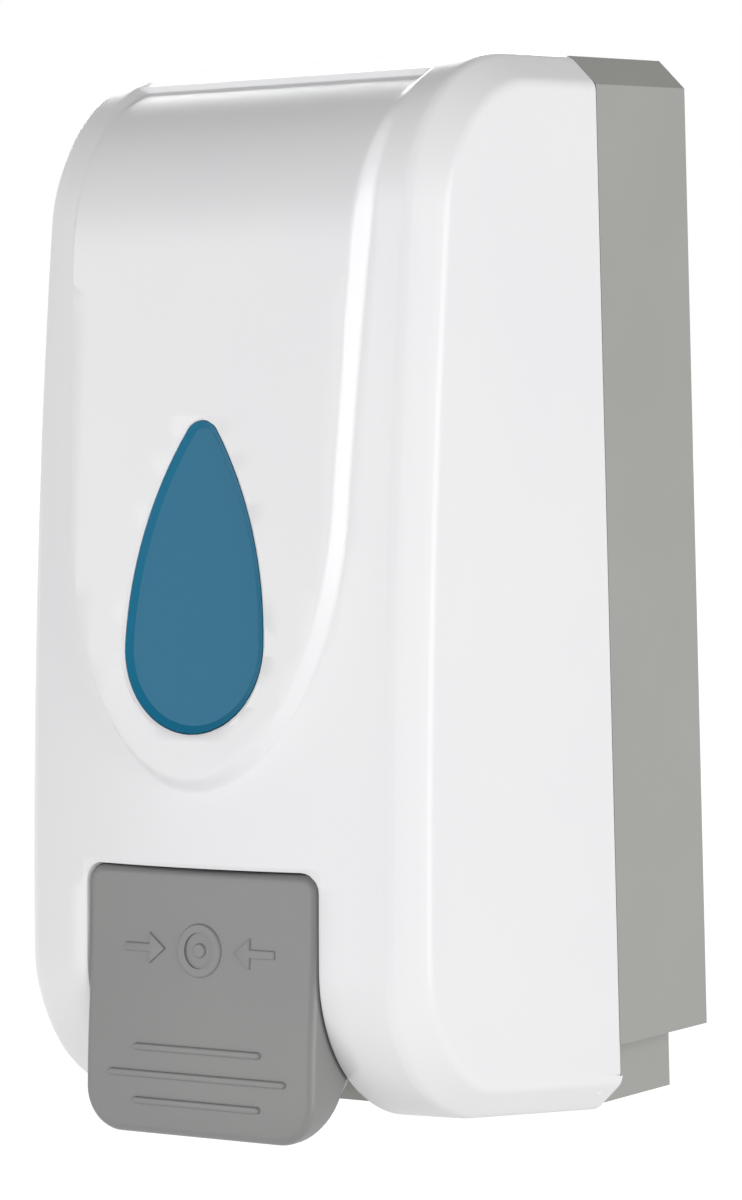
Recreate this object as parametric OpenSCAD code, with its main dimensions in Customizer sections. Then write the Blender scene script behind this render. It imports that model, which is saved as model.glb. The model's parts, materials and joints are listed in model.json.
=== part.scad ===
// Wall mounted soap dispenser with a push lever.
// Depth is measured forward from the wall, height up from the bottom of the cover.
// The origin is the centre of the wall screw pattern on the wall plane: +X right, -Y towards the user, +Z up.

/* [Body] */
// Width of the dispenser
body_w = 116; // [104:1:140]
// Height of the dispenser
body_h = 250; // [235:1:300]
// Depth of the front cover at its belly, where its front face meets the side chamfers
cover_d = 122.3; // [118:0.1:150]
// Depth of the rear housing
housing_d = 39; // [34:0.5:46]
// Height of the housing's underside above the bottom of the cover
housing_lift = 16; // [15:0.5:22]
// Chamfer around the cover and on the housing's top corners
corner = 7; // [4:0.5:9]
// Wall thickness of housing, cover and base block
wall = 2.5; // [1.8:0.1:3]
// Thickness of the housing's back plate
back_plate = 3; // [2.5:0.1:4]
// Gap between the cover and the housing
seam_gap = 0.3; // [0.2:0.1:0.6]

/* [Cover shape] */
// Radius where the front runs into the top
top_r = 41; // [35:1:48]
// Radius where the front runs into the bottom
bottom_r = 36; // [32:1:45]
// How far the cover's underside rises for each millimetre towards the front
foot_rise = 0.11; // [0.02:0.01:0.13]
// Lean of the front just above its lower corner, in degrees
front_lean = 2; // [1:0.5:3]
// Radius of the slight bow of the front, seen from the side
bow_r = 1650; // [1200:50:2200]
// How far the middle of the front stands out from its edges
crown = 6; // [4:0.5:7]
// Half width of the raised panel
panel_half_w = 41; // [34:1:44]
// Height of the lowest point of the raised panel
panel_bottom = 82; // [76:1:90]
// Height from the panel's lowest point to where its sides run straight up
panel_bowl = 68; // [45:1:80]
// Depth of the panel's face at the middle of the window
panel_d = 125; // [124:0.5:127]
// How far the panel's face leans back for each millimetre of height
panel_lean = 0.114; // [0.09:0.002:0.13]
// How far the panel lies below the top of the cover
panel_drop = 3; // [2:0.1:4]
// Radius where the panel runs into the top
panel_r = 45; // [40:1:52]
// Depth of the ledge where the panel ends below the top
ledge_d = 84; // [78:0.5:88]

/* [Level window] */
// Radius of the round lower end
window_r = 19.8; // [14:0.2:24]
// Height of the centre of the round lower end
window_z = 115.8; // [108:0.2:122]
// Height of the tip
window_tip_z = 167.2; // [155:0.2:180]
// Radius of the tip
window_tip_r = 5; // [3:0.5:7]
// Radius of the window's bulging sides
window_side_r = 90; // [80:5:200]
// Width of the lip behind the cover
window_lip = 1.5; // [1:0.1:3]

/* [Lever] */
// Width of the lever
lever_w = 66; // [54:1:72]
// Height of the lever's foot
lever_foot_z = 3; // [1:0.5:8]
// Height of the lever's top edge
lever_top_z = 64.5; // [60:0.5:68]
// Depth of the lever's face at its top edge
lever_top_d = 124.5; // [122:0.5:126]
// Depth of the lever's face at its foot
lever_foot_d = 129; // [126:0.5:130]
// Radius of the lever's upper corners
lever_top_r = 4; // [2:0.5:8]
// Radius of the lever's lower corners
lever_foot_r = 10; // [8:0.5:16]
// Wall thickness of the lever
lever_wall = 2.4; // [1.8:0.1:3]
// Gap between the lever and the cover
lever_gap = 0.6; // [0.4:0.1:1]
// Depth of the lever's pin
pin_d = 110; // [107:0.5:113]
// Height of the lever's pin
pin_z = 57; // [54:0.5:58]
// Radius of the lever's pin
pin_r = 2; // [1.5:0.1:2.5]
// Width of the slot in the lever's fork
fork_slot = 16; // [15:0.5:18]
// Width of each arm of the fork
fork_arm = 6; // [4:0.5:8]

/* [Cover hinge] */
// Depth of the cover's hinge
hinge_d = 45; // [43:0.5:50]
// Height of the cover's hinge
hinge_z = 9; // [8:0.5:10]
// Radius of the hinge pins
hinge_r = 2; // [1.5:0.1:2.5]

/* [Base block] */
// Width of the base block
block_w = 93.8; // [84:0.2:100]
// Depth of the base block
block_d = 68; // [60:1:71]
// Height by which the block's front part is stepped up
block_step = 3; // [2:0.5:4]

/* [Pump] */
// Depth of the pump's axis
pump_d = 80; // [77:0.5:84]
// Radius of the pump's bore
bore_r = 10; // [8:0.5:11]
// Wall thickness of the pump
pump_wall = 2.5; // [2:0.1:3]
// Outer radius of the plunger tube
stem_r = 5.5; // [4.5:0.1:6]
// Inner radius of the plunger tube
duct_r = 2.2; // [1.5:0.1:3]
// Height of the nozzle's lower end
nozzle_z = 5; // [4:0.5:8]
// Height of the underside of the plunger's collar
collar_z = 51.3; // [49:0.1:52]
// Height of the pump's lower end
pump_z = 64; // [63.5:0.5:66]
// Height of the pump's top
pump_top_z = 107; // [102:0.5:115]
// Number of turns of the pump spring
spring_turns = 6; // [4:1:8]
// Wire radius of the pump spring
spring_wire_r = 0.6; // [0.4:0.1:0.8]

/* [Tank] */
// Width of the tank
tank_w = 100; // [90:1:104]
// Depth of the tank's front face at its bottom
tank_front_d = 103; // [100:0.5:106]
// Gap between the tank and the housing's back plate
tank_gap = 6; // [4:0.5:10]
// Height of the tank's bottom
tank_z = 92; // [90:0.5:96]
// Height of the tank's top
tank_top_z = 220; // [200:1:222]
// Wall thickness of the tank
tank_wall = 2; // [1.5:0.1:3]
// Outer radius of the neck at the tank's bottom
neck_r = 19; // [18:0.5:21]
// Depth of the filler opening's centre
filler_d = 64; // [60:0.5:66]
// Outer radius of the filler neck
filler_r = 15; // [12:0.5:16]

/* [Lock] */
// Depth of the lock's axis
lock_d = 22; // [20:0.5:24]
// Radius of the lock barrel
barrel_r = 5; // [4:0.1:6]
// Length of the lock's tongue from the axis
tongue = 22; // [20:0.5:24]

/* [Wall mount] */
// Height of the middle of the screw pattern above the bottom of the cover
mount_z = 160; // [150:1:170]
// Distance between the wall screws across the width
mount_dx = 70; // [50:1:80]
// Distance between the wall screws up the height
mount_dz = 120; // [80:1:130]
// Radius of the wall screw holes
mount_hole_r = 2.25; // [2:0.05:3]

/* [Hidden] */
$fn = 64;

grey = "#9d9d98";
white = "#f2f3f4";
teal = "#3c7593";
steel = "#c4c7ca";
rubber = "#3a3a3c";

far = 300;                              // longer than any piece, for cuts that run right through
fit = 0.02;                             // gap of a pin or screw that is fixed in its hole
running = 0.05;                         // radial gap of a shaft that turns or slides in its hole
slack = 0.5;                            // gap between pieces that only pass each other

screw_r = 1.5;                          // shank of the small screws
screw_head_r = 2.8;
screw_head_h = 1.8;
boss_r = 3.6;                           // screw bosses
block_screw_x = block_w / 2 - 9;
block_screw_d = [12, 30];
shelf_screw_x = [12 - tank_w / 2, -14, 14, tank_w / 2 - 12];
shelf_screw_z = 70;

floor_z = housing_lift + wall;          // top face of the housing's bottom wall
cover_back = housing_d + seam_gap;
foot_turn = atan(foot_rise);
foot_length = sqrt(1 + foot_rise * foot_rise);
foot_c = [cover_d - bottom_r, foot_rise * (cover_d - bottom_r - cover_back) + bottom_r * foot_length];
bow_c = foot_c - (bow_r - bottom_r) * [cos(front_lean), sin(front_lean)];
bow_end = asin((body_h - top_r - bow_c[1]) / (bow_r - top_r));
top_c = bow_c + (bow_r - top_r) * [cos(bow_end), sin(bow_end)];
panel_top_z = body_h - panel_drop;
lean_length = sqrt(1 + panel_lean * panel_lean);
panel_c = [panel_d - panel_lean * (panel_top_z - panel_r - window_z) - panel_r * lean_length, panel_top_z - panel_r];

hinge_boss_r = hinge_r + 2.2;
ear_r = pin_r + 3;                      // eyes around the lever's pin
ear_in = lever_w / 2 + 1.5;
ear_w = 5;
clip_w = 1;
clip_r = 1.6;                           // groove in the pin under the clip

collar_r = stem_r + 7.5;
collar_h = 3;
pad_r = 3;                              // round pads on the fork, which lift the collar
pad_gap = 0.3;
arm_h = 4;
fork_root_d = pump_d + 16;
fork_tip_d = pump_d - 8;

cylinder_r = bore_r + pump_wall;
piston_z = pump_z + 8;
piston_h = 6;
chamber_z = pump_top_z - 3;             // underside of the pump's top wall
flange_z = tank_z - 13;
flange_h = 3;
seal_h = 1;
nut_r = neck_r + 4.5;
nut_lip = 3;
shelf_h = 3;
shelf_w = tank_w;
shelf_drop = 30;                        // height of the shelf's back flange
tank_back = back_plate + tank_gap;
filler_h = 6;
lid_r = filler_r + 3;
lid_h = 9;

boss_z = body_h - 7;                    // underside of the boss that holds the lock
bush_r = barrel_r + 2;
bush_lip = 1.2;
cam_z = boss_z - 8.4;
cam_h = 2;
cam_w = 6;
hook_x = bush_r + 6.5;                  // the cover's hook passes beside the lock's boss

// ---------- shared shapes ----------

// Sweeps a side view, drawn as (depth, height), across the width
module across(width) rotate([90, 0, -90]) linear_extrude(width, center = true) children();

// Sweeps a front view, drawn as (x, height), from one depth to another
module through(d0, d1) translate([0, -d0, 0]) rotate([90, 0, 0]) linear_extrude(d1 - d0) children();

// A rod along X
module rod_x(x0, x1, d, z, r) translate([x0, -d, z]) rotate([0, 90, 0]) cylinder(h = x1 - x0, r = r);

// A rod along Y, from one depth to another
module rod_y(x, z, d0, d1, r) translate([x, -d0, z]) rotate([90, 0, 0]) cylinder(h = d1 - d0, r = r);

// A turned piece from its half section, drawn as (radius, height)
module turned(points) rotate_extrude() polygon(points);

// A rectangle with one radius on its lower corners and another on its upper corners
module soft_rect(x0, x1, z0, z1, r_low, r_high) {
    translate([x0, z0 + r_low]) square([x1 - x0, z1 - z0 - r_low - r_high]);
    translate([x0 + r_low, z0]) square([x1 - x0 - 2 * r_low, z1 - z0 - r_high]);
    translate([x0 + r_high, z0 + r_low]) square([x1 - x0 - 2 * r_high, z1 - z0 - r_low]);
    for (x = [x0 + r_low, x1 - r_low]) translate([x, z0 + r_low]) circle(r_low);
    for (x = [x0 + r_high, x1 - r_high]) translate([x, z1 - r_high]) circle(r_high);
}

function arc(c, r, a0, a1, n) = [for (i = [0:n]) let (a = a0 + (a1 - a0) * i / n) c + r * [cos(a), sin(a)]];

// The same without its first point, to carry on from another arc
function arc_on(c, r, a0, a1, n) = [for (i = [1:n]) let (a = a0 + (a1 - a0) * i / n) c + r * [cos(a), sin(a)]];

module mirrored() {
    children();
    mirror([1, 0, 0]) children();
}

module at_pump() translate([0, -pump_d, 0]) children();
module at_lock() translate([0, -lock_d, 0]) children();

// A screw whose head's underside is at z = 0 and whose shank points down
module screw(length) {
    translate([0, 0, -length]) cylinder(h = length, r = screw_r);
    difference() {
        cylinder(h = screw_head_h, r = screw_head_r);
        translate([0, 0, screw_head_h - 1]) cylinder(h = 2, r = 1.4, $fn = 6);
    }
}

// ---------- outlines of the cover ----------

// Side view of the cover, moved inwards by an inset on its outer edges
module cover_side(inset, back) {
    polygon(concat(
        [[back, foot_rise * (back - cover_back) + inset * foot_length]],
        arc(foot_c, bottom_r - inset, foot_turn - 90, front_lean, 14),
        arc_on(bow_c, bow_r - inset, front_lean, bow_end, 6),
        arc_on(top_c, top_r - inset, bow_end, 90, 16),
        [[back, body_h - inset]]
    ));
}

// The whole cover as one convex block, moved inwards by the skin's thickness. Thin slices, sunk into the
// block everywhere but at the front, give the front its crown.
module cover_form(skin, back) {
    bevel = (sqrt(2) - 1) * skin;
    half = body_w / 2 - corner - bevel;
    sunk = 0.5;
    hull() {
        across(2 * half) cover_side(skin, back);
        across(body_w - 2 * skin) cover_side(corner + bevel, back);
        for (s = [-2 / 3:1 / 3:2 / 3])
            translate([s * half, -back, 0])
                scale([1, 1 + (crown * (1 - s * s) + sunk) / (cover_d - back), 1])
                    translate([0, back, 0]) across(1) cover_side(skin + sunk, back + sunk);
    }
}

// Front view of the raised panel
module panel_front(inset) {
    w = panel_half_w - inset;
    middle = panel_bottom + panel_bowl;
    polygon(concat(
        [[w + 2, far]],
        [for (a = [0:6:180]) [w * cos(a), middle - (panel_bowl - inset) * sin(a)]],
        [[-w - 2, far]]
    ));
}

// Side view of the raised panel
module panel_side(inset, back) {
    lean_angle = atan(panel_lean);
    foot_z = panel_bottom - 20;
    foot_d = panel_d + panel_lean * (window_z - foot_z) - inset * lean_length;
    polygon(concat(
        [[back, foot_z], [foot_d, foot_z]],
        arc(panel_c, panel_r - inset, lean_angle, 90, 18),
        [[back, panel_top_z - inset]]
    ));
}

// The window is a drop: a round foot, a small round tip, and bulging sides that touch both
module window_front(grow) {
    foot = [0, window_z];
    tip = [0, window_tip_z - window_tip_r];
    rise = tip[1] - foot[1];
    to_foot = window_side_r - window_r;
    to_tip = window_side_r - window_tip_r;
    up = (pow(to_foot, 2) - pow(to_tip, 2) + pow(rise, 2)) / (2 * rise);
    c = [-sqrt(pow(to_foot, 2) - up * up), foot[1] + up];
    turn_foot = atan2(-up, -c[0]);
    turn_tip = atan2(rise - up, -c[0]);
    half = concat(
        arc(foot, window_r + grow, -90, turn_foot, 16),
        arc_on(c, window_side_r + grow, turn_foot, turn_tip, 10),
        arc_on(tip, window_tip_r + grow, turn_tip, 90, 8)
    );
    polygon(concat(half, [for (i = [len(half) - 2:-1:1]) [-half[i][0], half[i][1]]]));
}

// Opening for the lever, open at the bottom
module notch_front() {
    half = lever_w / 2 + lever_gap;
    soft_rect(-half, half, -corner, lever_top_z + lever_gap, 1, lever_top_r + lever_gap);
}

// ---------- housing ----------

module housing_front(inset) {
    w = body_w / 2 - inset;
    cut = corner - (2 - sqrt(2)) * inset;
    polygon([
        [-w, housing_lift + inset], [w, housing_lift + inset], [w, body_h - inset - cut],
        [w - cut, body_h - inset], [-w + cut, body_h - inset], [-w, body_h - inset - cut]
    ]);
}

module rear_housing() color(grey) {
    difference() {
        union() {
            difference() {
                through(0, housing_d) housing_front(0);
                through(back_plate, far) housing_front(wall);
            }
            for (x = [-1, 1], z = [-1, 1])
                rod_y(x * mount_dx / 2, mount_z + z * mount_dz / 2, 1, tank_back - 2, 2.4 * mount_hole_r);
            at_lock() translate([0, 0, boss_z]) cylinder(h = body_h - boss_z - wall / 2, r = bush_r + 5);
        }
        for (x = [-1, 1], z = [-1, 1])
            rod_y(x * mount_dx / 2, mount_z + z * mount_dz / 2, -1, far, mount_hole_r);
        for (x = shelf_screw_x) rod_y(x, shelf_screw_z, 0.5, far, screw_r + fit);
        for (x = [-1, 1], d = block_screw_d)
            translate([x * block_screw_x, -d, 0]) cylinder(h = far / 2, r = screw_r + fit);
        at_lock() {
            cylinder(h = far, r = bush_r + fit);
            translate([0, 0, body_h - bush_lip]) cylinder(h = far, r = bush_r + 2 + fit);
        }
    }
}

module base_block() color(grey) {
    inner = wall;
    difference() {
        union() {
            difference() {
                across(block_w) polygon([
                    [0, 0], [housing_d, 0], [housing_d + block_step, block_step], [block_d, block_step],
                    [block_d, housing_lift], [0, housing_lift]
                ]);
                across(block_w - 2 * inner) polygon([
                    [inner, inner], [housing_d - 1, inner], [housing_d - 1 + block_step, inner + block_step],
                    [block_d - inner, inner + block_step], [block_d - inner, far], [inner, far]
                ]);
            }
            for (x = [-1, 1], d = block_screw_d)
                translate([x * block_screw_x, -d, wall / 2]) cylinder(h = housing_lift - wall / 2, r = boss_r);
            mirrored() rod_x(block_w / 2 - 9, block_w / 2, hinge_d, hinge_z, hinge_boss_r);
        }
        for (x = [-1, 1], d = block_screw_d)
            translate([x * block_screw_x, -d, 5]) cylinder(h = far, r = screw_r + fit);
        mirrored() rod_x(block_w / 2 - 12, far, hinge_d, hinge_z, hinge_r + fit);
    }
}

module block_screws() color(steel)
    for (x = [-1, 1], d = block_screw_d) translate([x * block_screw_x, -d, floor_z]) screw(12);

module cover_hinge_pins() color(steel)
    mirrored() rod_x(block_w / 2 - 8.5, body_w / 2 - wall - 1, hinge_d, hinge_z, hinge_r);

module tank_shelf() color(grey) {
    rib = 3;
    difference() {
        union() {
            translate([-shelf_w / 2, -tank_front_d, tank_z - shelf_h])
                cube([shelf_w, tank_front_d - back_plate, shelf_h]);
            translate([-shelf_w / 2, -back_plate - rib, tank_z - shelf_drop])
                cube([shelf_w, rib, shelf_drop]);
            for (side = [-1, 1])
                translate([side * (shelf_w - rib) / 2, 0, 0]) across(rib) polygon([
                    [back_plate, tank_z - shelf_drop], [back_plate + 12, tank_z - shelf_drop],
                    [tank_front_d - 6, tank_z - shelf_h - 5], [tank_front_d, tank_z - shelf_h - 5],
                    [tank_front_d, tank_z - 1], [back_plate, tank_z - 1]
                ]);
        }
        at_pump() {
            cylinder(h = far, r = nut_r + slack);
            translate([-nut_r - slack, -far, 0]) cube([2 * (nut_r + slack), far, far]);
        }
        for (x = shelf_screw_x) rod_y(x, shelf_screw_z, 0, 20, screw_r + fit);
    }
}

module shelf_screws() color(steel)
    for (x = shelf_screw_x)
        translate([x, -back_plate - 3, shelf_screw_z]) rotate([90, 0, 0]) screw(5);

// ---------- tank ----------

module tank_side(inset) {
    round_r = 18;
    lean_d = 5;                         // how far the tank's front leans back towards its top
    c = [tank_front_d - lean_d - round_r, tank_top_z - round_r];
    polygon(concat(
        [[tank_back + inset, tank_z + inset], [tank_front_d - inset, tank_z + inset],
         [tank_front_d - 1 - inset, (tank_z + tank_top_z) / 2]],
        arc(c, round_r - inset, 8, 90, 12),
        [[tank_back + inset, tank_top_z - inset]]
    ));
}

module tank_plan(inset) {
    r = 12 - inset;
    w = tank_w / 2 - inset;
    translate([0, 0, tank_z - 1]) linear_extrude(tank_top_z - tank_z + 2)
        soft_rect(-w, w, -tank_front_d + inset, -tank_back - inset, r, r);
}

module tank_form(inset) {
    intersection() {
        across(tank_w) tank_side(inset);
        tank_plan(inset);
    }
}

module tank() color("#e9edee", 0.8) {
    difference() {
        union() {
            difference() {
                tank_form(0);
                tank_form(tank_wall);
            }
            at_pump() translate([0, 0, flange_z + flange_h + seal_h])
                cylinder(h = tank_z + tank_wall - flange_z - flange_h - seal_h, r = neck_r);
            translate([0, -filler_d, tank_top_z - tank_wall]) cylinder(h = filler_h + tank_wall, r = filler_r);
        }
        at_pump() cylinder(h = tank_z + tank_wall + 1, r = neck_r - 4);
        translate([0, -filler_d, tank_top_z - tank_wall - 1]) cylinder(h = far, r = filler_r - 2.5);
    }
}

module tank_lid() color(white) translate([0, -filler_d, tank_top_z]) {
    grips = 24;
    difference() {
        translate([0, 0, 1]) cylinder(h = lid_h, r = lid_r);
        cylinder(h = filler_h + seal_h, r = filler_r + running);
        for (i = [0:grips - 1])
            rotate(i * 360 / grips) translate([lid_r + 0.4, 0, 0]) cylinder(h = far, r = 1, $fn = 16);
    }
}

module lid_seal() color(rubber) translate([0, -filler_d, tank_top_z + filler_h])
    turned([[filler_r - 2.5, 0], [filler_r, 0], [filler_r, seal_h], [filler_r - 2.5, seal_h]]);

module outlet_seal() color(rubber) at_pump()
    turned([
        [neck_r - 4, flange_z + flange_h], [neck_r, flange_z + flange_h],
        [neck_r, flange_z + flange_h + seal_h], [neck_r - 4, flange_z + flange_h + seal_h]
    ]);

// ---------- pump ----------

module pump_nut() color(white) at_pump() {
    grips = 18;
    height = tank_z - 2 - flange_z + nut_lip;
    difference() {
        translate([0, 0, flange_z - nut_lip]) cylinder(h = height, r = nut_r);
        cylinder(h = far, r = cylinder_r + 2.5);
        translate([0, 0, flange_z]) cylinder(h = far, r = neck_r + running);
        for (i = [0:grips - 1])
            rotate(i * 360 / grips) translate([nut_r + 0.5, 0, 0]) cylinder(h = far, r = 1.4, $fn = 16);
    }
}

module pump_body() color(white) at_pump() difference() {
    turned([
        [bore_r, pump_z + 2], [cylinder_r, pump_z + 2], [cylinder_r, flange_z], [neck_r, flange_z],
        [neck_r, flange_z + flange_h], [cylinder_r, flange_z + flange_h], [cylinder_r, pump_top_z],
        [1.5 + fit, pump_top_z], [1.5 + fit, chamber_z], [bore_r, chamber_z]
    ]);
    for (a = [45:90:315])
        rotate(a) translate([4.5, 0, chamber_z - 1]) cylinder(h = 10, r = 1.3);
}

module pump_cap() color(white) at_pump()
    turned([
        [stem_r + running, pump_z], [cylinder_r + 2, pump_z], [cylinder_r + 2, pump_z + 8],
        [cylinder_r + fit, pump_z + 8], [cylinder_r + fit, pump_z + 2], [stem_r + running, pump_z + 2]
    ]);

// Rubber umbrella that lets soap into the pump and stops it flowing back
module inlet_valve() color(rubber) at_pump()
    turned([
        [0, chamber_z - 2], [3, chamber_z - 1.8], [6.8, chamber_z - 0.6], [6.8, chamber_z], [1.5, chamber_z],
        [1.5, pump_top_z], [2.4, pump_top_z], [1.2, pump_top_z + 2.5], [0, pump_top_z + 2.5]
    ]);

// Coil spring between the piston and the pump's top wall
module pump_spring() color(steel) at_pump() {
    coil_r = bore_r - 1.7;
    z0 = piston_z + piston_h + spring_wire_r;
    rise = chamber_z - spring_wire_r - z0;
    per_turn = 16;
    sides = 8;
    rings = spring_turns * per_turn;
    points = [
        for (i = [0:rings], j = [0:sides - 1])
            let (a = 360 * i / per_turn, b = 360 * j / sides, r = coil_r + spring_wire_r * cos(b))
                [r * cos(a), r * sin(a), z0 + rise * i / rings + spring_wire_r * sin(b)]
    ];
    walls = [
        for (i = [0:rings - 1], j = [0:sides - 1])
            let (k = (j + 1) % sides)
                [i * sides + j, i * sides + k, (i + 1) * sides + k, (i + 1) * sides + j]
    ];
    ends = [[for (j = [sides - 1:-1:0]) j], [for (j = [0:sides - 1]) rings * sides + j]];
    polyhedron(points, concat(walls, ends));
}

module plunger() color(white) at_pump()
    turned([
        [duct_r, nozzle_z + 7], [stem_r, nozzle_z + 7], [stem_r, collar_z], [collar_r, collar_z],
        [collar_r, collar_z + collar_h], [stem_r, collar_z + collar_h], [stem_r, piston_z],
        [stem_r - 1.5, piston_z], [stem_r - 1.5, piston_z + piston_h], [duct_r, piston_z + piston_h]
    ]);

module piston() color(white) at_pump()
    turned([
        [stem_r - 1.5 + fit, piston_z], [bore_r - 0.3, piston_z], [bore_r - 0.3, piston_z + 2],
        [bore_r - 1.2, piston_z + 2], [bore_r - 1.2, piston_z + 4], [bore_r - 0.3, piston_z + 4],
        [bore_r - 0.3, piston_z + piston_h], [stem_r - 1.5 + fit, piston_z + piston_h]
    ]);

module piston_seal() color(rubber) at_pump()
    turned([
        [bore_r - 1.2 + fit, piston_z + 2], [bore_r - running, piston_z + 2],
        [bore_r - running, piston_z + 4], [bore_r - 1.2 + fit, piston_z + 4]
    ]);

module nozzle_tip() color(white) at_pump()
    turned([
        [duct_r + 0.6, nozzle_z], [duct_r + 1.6, nozzle_z], [stem_r + 1.5, nozzle_z + 5],
        [stem_r + 1.5, nozzle_z + 12], [stem_r + fit, nozzle_z + 12], [stem_r + fit, nozzle_z + 7],
        [duct_r + 0.6, nozzle_z + 7]
    ]);

// Rubber duckbill that keeps the nozzle from dripping
module outlet_valve() color(rubber) at_pump() difference() {
    union() {
        translate([0, 0, nozzle_z + 3]) cylinder(h = 4, r = duct_r + 0.6 - fit);
        translate([0, 0, nozzle_z + 1]) cylinder(h = 2, r1 = 1, r2 = duct_r + 0.6 - fit);
    }
    translate([0, 0, nozzle_z + 3]) cylinder(h = 5, r = duct_r - 0.6);
    translate([-1.2, -0.2, nozzle_z]) cube([2.4, 0.4, 4]);
}

// ---------- cover ----------

module cover_shell() {
    open_back = cover_back - 1;
    difference() {
        union() {
            difference() {
                cover_form(0, cover_back);
                through(ledge_d, far) panel_front(0);
            }
            intersection() {
                through(cover_back, far) panel_front(0);
                across(far) panel_side(0, cover_back);
            }
        }
        difference() {
            cover_form(wall, open_back);
            through(ledge_d - wall, far) panel_front(wall);
        }
        intersection() {
            through(0, far) panel_front(wall);
            across(far) panel_side(wall, open_back);
        }
        through(0, far) notch_front();
        through(0, block_d + 1.2) translate([-block_w / 2 - slack, -corner]) square([block_w + 2 * slack, corner + 6]);
        through(pump_d, far) window_front(fit);
    }
}

// The blind bores for the hinge pins run through the eyes and bite a little into the chamfers behind them
module front_cover() color(white) {
    difference() {
        union() {
            cover_shell();
            cover_hinge_eyes();
        }
        mirrored() rod_x(0, body_w / 2 - wall - 0.5, hinge_d, hinge_z, hinge_r + running);
    }
    cover_ears();
    cover_hook();
}

// Eyes inside the cover that hold the ends of the lever's pin
module cover_ears() mirrored() difference() {
    union() {
        rod_x(ear_in, ear_in + ear_w, pin_d, pin_z, ear_r);
        translate([ear_in, -cover_d - 1, pin_z - ear_r]) cube([ear_w, cover_d - pin_d + 1, 2 * ear_r]);
    }
    rod_x(0, far, pin_d, pin_z, pin_r + fit);
}

// Eyes at the foot of the cover that turn on the hinge pins
module cover_hinge_eyes()
    mirrored() rod_x(block_w / 2 + slack, body_w / 2 - wall + 0.2, hinge_d, hinge_z, hinge_boss_r);

// Hook inside the cover's top that the lock's tongue holds
module cover_hook() {
    hook_w = 2.5;
    lip_d = lock_d - cam_w / 2 - 1;
    translate([hook_x + hook_w / 2, 0, 0]) across(hook_w) polygon([
        [lip_d - 4, cam_z - 2], [lip_d, cam_z - 2], [lip_d, cam_z + cam_h + 1.4], [top_c[0], cam_z + cam_h + 1.4],
        [top_c[0], body_h - wall / 2], [housing_d + 3, body_h - wall / 2], [housing_d + 3, boss_z],
        [lip_d - 4, boss_z]
    ]);
}

// Slab of the panel's face between two distances in front of it
module panel_slab(behind, ahead) across(far) polygon([
    for (p = [[-behind, 60], [ahead, 60], [ahead, 200], [-behind, 200]])
        [panel_d + panel_lean * (window_z - p[1]) + p[0] * lean_length, p[1]]
]);

module level_window() color(teal, 0.85) {
    intersection() {
        through(0, far) window_front(0);
        panel_slab(wall + 1.5, 0.4);
    }
    intersection() {
        through(0, far) window_front(window_lip);
        panel_slab(wall + 1.5, -wall);
    }
}

module lever_pin() color(steel) difference() {
    end = ear_in + ear_w + 1.6;
    rod_x(-end, end, pin_d, pin_z, pin_r);
    mirrored() difference() {
        rod_x(ear_in + ear_w, ear_in + ear_w + clip_w, pin_d, pin_z, pin_r + 1);
        rod_x(0, far, pin_d, pin_z, clip_r);
    }
}

module lever_pin_clips() color(steel) mirrored() difference() {
    rod_x(ear_in + ear_w + fit, ear_in + ear_w + clip_w - fit, pin_d, pin_z, pin_r + 2);
    rod_x(0, far, pin_d, pin_z, clip_r + fit);
    translate([0, -pin_d - 1.2, pin_z - 10]) cube([far, 2.4, 10]);
}

// ---------- lever ----------

module lever_front(inset) {
    half = lever_w / 2 - inset;
    soft_rect(-half, half, lever_foot_z + inset, lever_top_z - inset, lever_foot_r - inset, lever_top_r - inset);
}

function lever_face_d(z) =
    lever_top_d + (lever_foot_d - lever_top_d) * (lever_top_z - z) / (lever_top_z - lever_foot_z);

module lever_side(inset) polygon([
    [lever_face_d(lever_top_z) - inset, lever_top_z], [lever_face_d(lever_foot_z) - inset, lever_foot_z],
    [lever_foot_d - 2.5 - inset, lever_foot_z], [113, 20], [pin_d - 5.5, 30], [pin_d - 5.5, lever_top_z]
]);

module lever_hollow() polygon([
    [lever_face_d(lever_top_z) - lever_wall, lever_top_z],
    [lever_face_d(lever_foot_z) - lever_wall, lever_foot_z], [0, lever_foot_z], [0, lever_top_z]
]);

module push_lever() color(grey) difference() {
    union() {
        difference() {
            intersection() {
                through(0, far) lever_front(0);
                across(far) lever_side(0);
            }
            intersection() {
                through(0, far) lever_front(lever_wall);
                across(far) lever_hollow();
            }
        }
        mirrored() rod_x(lever_w / 2 - 6, lever_w / 2, pin_d, pin_z, ear_r);
        lever_fork();
        for (i = [-1:1]) grip_rib(17 + 6.2 * i, i == 0 ? 25.5 : 18.3);
    }
    rod_x(-far, far, pin_d, pin_z, pin_r + running);
}

module grip_rib(z, half) {
    d = lever_face_d(z);
    through(d - 1, d + 0.6) soft_rect(-half, half, z - 0.8, z + 0.8, 0.7, 0.7);
}

// Fork that reaches around the plunger and lifts its collar with two round pads
module lever_fork() {
    pad_z = collar_z - pad_gap - pad_r;
    out = fork_slot / 2 + fork_arm;
    translate([-out, -lever_face_d(pad_z) + 1, pad_z - arm_h])
        cube([2 * out, lever_face_d(pad_z) - 1 - fork_root_d, arm_h]);
    mirrored() {
        translate([fork_slot / 2, -fork_root_d - 1, pad_z - arm_h])
            cube([fork_arm, fork_root_d + 1 - fork_tip_d, arm_h]);
        rod_x(fork_slot / 2, out, pump_d, pad_z, pad_r);
        translate([fork_slot / 2 + 1, 0, 0]) across(2) polygon([
            [lever_face_d(pad_z) - 1, pad_z - arm_h - 12], [lever_face_d(pad_z) - 1, pad_z],
            [fork_root_d, pad_z - 1], [fork_root_d, pad_z - arm_h]
        ]);
    }
}

// ---------- lock ----------

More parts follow.
